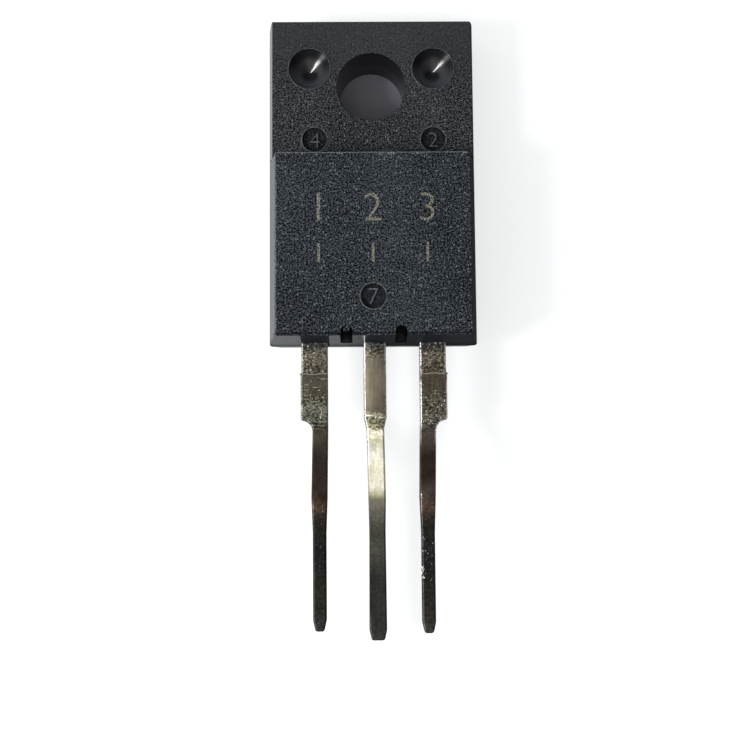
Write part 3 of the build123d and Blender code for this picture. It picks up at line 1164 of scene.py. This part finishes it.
@dataclass
class LeadFrame:
    """The three leads, each with its own wear and painted reflections, and the middle one's header.
    """

    effects: Effects
    body_foot: float
    edge_width: float = 0.1 * MM
    merge_distance: float = 0.002 * MM
    front_z: float = 3.05 * MM
    trim_down: float = 1.4 * MM
    trim_radius: float = 0.03 * MM
    trim_ends: Range = (2.24 * MM, 3.42 * MM)
    trim_cuts: int = 11
    trim_wave: float = 0.016 * MM
    trim_waves: tuple[Triple, ...] = ((7.0, 0.0, 1.0), (19.0, 1.0, 0.6))

    def build(self) -> None:
        """Dress the leads and round their edges."""
        for node, finish in LEAD_FINISHES.items():
            tip_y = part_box(node)[0][1]
            self.soften(dress(node, finish.build(self.effects, self.body_foot, tip_y)))
            log.info("lead: %s", node)
        self.add_trim_lines()
        self.add_drops()

    def soften(self, lead: bpy.types.Object) -> None:
        """Round a lead's sharp edges with modifiers, after its flats are made whole.

        Args:
            lead: The CAD node's object.
        """
        configure(lead.modifiers.new("join", "WELD"), merge_threshold=self.merge_distance)
        flats = lead.modifiers.new("flats", "DECIMATE")
        configure(flats, decimate_type="DISSOLVE", angle_limit=math.radians(1.0))
        bevel = lead.modifiers.new("round", "BEVEL")
        configure(bevel, width=self.edge_width, segments=3, use_clamp_overlap=False)
        configure(bevel, limit_method="ANGLE", angle_limit=math.radians(50), harden_normals=True)

    def add_trim_lines(self) -> None:
        """Put an uneven ridge where each tie bar was cut off, and short wrinkles below it."""
        ridges = bmesh.new()
        inner, outer = self.trim_ends
        for side in (-1, 1):
            across = side * (inner + outer) / 2
            middle = Matrix.Translation((across, self.body_foot - self.trim_down, self.front_z))
            rod = bmesh.ops.create_cone(
                ridges,
                cap_ends=True,
                segments=8,
                radius1=self.trim_radius,
                radius2=self.trim_radius,
                depth=outer - inner,
                matrix=middle @ Matrix.Rotation(math.pi / 2, 4, "Y"),
            )
            touching = {edge for corner in rod["verts"] for edge in corner.link_edges}
            long_edges = [edge for edge in touching if edge.calc_length() > 0.5 * (outer - inner)]
            bmesh.ops.subdivide_edges(ridges, edges=long_edges, cuts=self.trim_cuts)
        for corner in ridges.verts:
            across = corner.co.x / MM
            waves = (share * math.sin(rate * across + at) for rate, at, share in self.trim_waves)
            corner.co.y += self.trim_wave * sum(waves)
        for ridge in RIDGES:
            place = Matrix.Translation(Vector((ridge.x, ridge.y, self.front_z / MM)) * MM)
            turn = Matrix.Rotation(math.radians(ridge.turn), 4, "Z")
            shape = Matrix.Diagonal((ridge.length / 2, ridge.radius, ridge.radius, 1.0))
            matrix = place @ turn @ shape
            bmesh.ops.create_icosphere(ridges, subdivisions=2, radius=MM, matrix=matrix)
        finish = PlainMetalFinish("trimmed_tin", srgb(186, 180, 160), 0.4)
        add_piece("trim_lines", ridges, finish.build(self.effects))

    def add_drops(self) -> None:
        """Scatter small frozen drops of solder where the leads were last heated."""
        chance = random.Random(11)
        drops = bmesh.new()
        for patch in SOLDER_PATCHES:
            shape = Matrix.Diagonal((patch.stretch, 1.0, 0.5, 1.0))
            for _ in range(patch.count):
                size = chance.uniform(*patch.size) * MM
                across, along = chance.uniform(*patch.across), chance.uniform(*patch.along)
                place = Matrix.Translation(Vector((across, along, patch.height)) * MM)
                turn = Matrix.Rotation(chance.uniform(0, math.pi), 4, "Z")
                matrix = place @ turn @ shape
                bmesh.ops.create_icosphere(drops, subdivisions=2, radius=size, matrix=matrix)
        finish = PlainMetalFinish("fresh_solder", srgb(240, 238, 230), 0.25)
        piece = add_piece("solder_drops", drops, finish.build(self.effects))
        piece.data.shade_smooth()


@dataclass
class InnerPieces:
    """What the epoxy hides: chip, solder and bond wires."""

    effects: Effects
    chip: str = "transistor_die"
    solder: str = "die_attach_solder"
    wires: tuple[str, ...] = ("base_bond_wire", "emitter_bond_wire_a", "emitter_bond_wire_b")

    def build(self) -> None:
        """Dress the hidden pieces."""
        low, high = (Vector(corner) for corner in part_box(self.chip))
        dress(self.chip, SiliconFinish().build(self.effects, (low + high) / 2))
        solder = PlainMetalFinish("solder", srgb(176, 176, 178), 0.4)
        dress(self.solder, solder.build(self.effects))
        drawn = PlainMetalFinish("drawn_aluminium", srgb(214, 215, 218), 0.28).build(self.effects)
        for wire in self.wires:
            dress(wire, drawn)
        log.info("inner pieces: %d", 2 + len(self.wires))


# --- studio
@dataclass(frozen=True)
class Softbox:
    """A square lamp that faces the part."""

    name: str
    direction: Triple
    distance: float
    size: float
    share: float

    def build(self, target: Vector) -> None:
        """Add the lamp.

        Args:
            target: Point that it faces.
        """
        light = bpy.data.lights.new(self.name, "AREA")
        energy = self.share * (math.pi * self.distance) ** 2
        configure(light, shape="SQUARE", size=self.size, energy=energy)
        lamp = bpy.data.objects.new(self.name, light)
        way = Vector(self.direction).normalized()
        turn = way.to_track_quat("Z", "Y").to_euler()
        configure(lamp, location=target + way * self.distance, rotation_euler=turn)
        bpy.context.collection.objects.link(lamp)


@dataclass
class Studio:
    """Pale floor, soft lamps, world and camera."""

    floor_size: float = 1.2
    floor_tone: Colour = (0.49, 0.52, 0.53)
    floor_glow: float = 0.66
    shade_tone: Colour = (0.26, 0.258, 0.3)
    shade_margin: float = 0.3 * MM
    camera_place: Vector = field(default_factory=lambda: Vector((-0.743, -20.338, 62.231)) * MM)
    camera_turn: Triple = (5.905, -0.72, -0.496)
    focal_length: float = 60.0
    lamps: tuple[Softbox, ...] = (
        Softbox("key", (-0.71, -0.22, 0.667), 0.13, 0.03, 0.5),
        Softbox("overhead", (0.0, -0.42, 0.91), 0.2, 0.08, 0.05),
    )
    window: Triple = (-0.8, -0.6, 0.0)
    window_light: float = 1.4
    room_light: float = 0.2
    room_falloff: float = 1.8
    white: Colour = (1.0, 1.0, 1.0)

    def build(self) -> None:
        """Add everything that isn't the part."""
        self.add_floor()
        self.add_world()
        low, high = (Vector(corner) for corner in CAD_BOX)
        for lamp in self.lamps:
            lamp.build((low + high) / 2)
        self.add_camera()
        bpy.context.scene.view_settings.view_transform = "Standard"

    def add_floor(self) -> None:
        """Add the floor, at the part's lowest level, with a painted shadow where the body covers
        it.
        """
        sheet = bmesh.new()
        bmesh.ops.create_grid(sheet, x_segments=1, y_segments=1, size=self.floor_size / 2)
        bmesh.ops.translate(sheet, verts=sheet.verts, vec=(0, 0, CAD_BOX[0][2]))
        paint = PlacedPaint("floor_paper")
        low, high = (Vector(corner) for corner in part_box("molded_body"))
        centre, reach = (low + high) / 2, (high - low) / 2
        # painted shadow: the floor under the body is darker and has no glow, seen through the screw
        # hole
        under = paint.product(
            paint.below(paint.off(paint.x, centre.x), reach.x - self.shade_margin),
            paint.below(paint.off(paint.y, centre.y), reach.y - self.shade_margin),
        )
        seen = paint.add("LightPath", {}).outputs["Is Camera Ray"]
        glow = paint.remap(under, 0.0, 1.0, self.floor_glow, 0.0)
        values = {
            "Base Color": paint.mix(under, self.floor_tone, self.shade_tone),
            "Roughness": 1.0,
            "Specular IOR Level": 0.0,
            "Emission Color": self.white,
            "Emission Strength": paint.product(seen, glow),
        }
        add_object("floor", sheet, paint.apply(values))

    def add_world(self) -> None:
        """Light the room: a window to the lower left, dark to the right, white behind the part."""
        world = bpy.data.worlds.new("room")
        bpy.context.scene.world = world
        world.use_nodes = True
        nodes = NodeCanvas(world.node_tree)
        way = nodes.add("TexCoord", {}).outputs["Generated"]
        ends = {0: way, 1: Vector(self.window).normalized()}
        toward = nodes.add("VectorMath", ends, operation="DOT_PRODUCT").outputs["Value"]
        share = nodes.product(nodes.math("ADD", toward, 1.0), 0.5)
        share = nodes.math("POWER", share, self.room_falloff)
        span = self.window_light - self.room_light
        light = nodes.math("ADD", nodes.product(share, span), self.room_light)
        seen = nodes.add("LightPath", {}).outputs["Is Camera Ray"]
        values = {"Color": self.white, "Strength": nodes.largest(light, seen)}
        nodes.fill(nodes.tree.nodes["Background"], values)

    def add_camera(self) -> None:
        """Add the camera, above the part and a little below its middle."""
        lens = bpy.data.cameras.new("camera")
        configure(lens, lens=self.focal_length, sensor_width=36.0, clip_start=MM, clip_end=10.0)
        camera = bpy.data.objects.new("camera", lens)
        turn = Euler([math.radians(angle) for angle in self.camera_turn])
        configure(camera, location=self.camera_place, rotation_euler=turn)
        bpy.context.collection.objects.link(camera)
        bpy.context.scene.camera = camera


def main() -> None:
    """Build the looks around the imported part."""
    effects = Effects(build_moulding_grain(), build_plating_wrinkle())
    body = MouldedBody(effects)
    body.build()
    LeadFrame(effects, body.low.y).build()
    InnerPieces(effects).build()
    Studio().build()


if __name__ == "__main__":
    main()
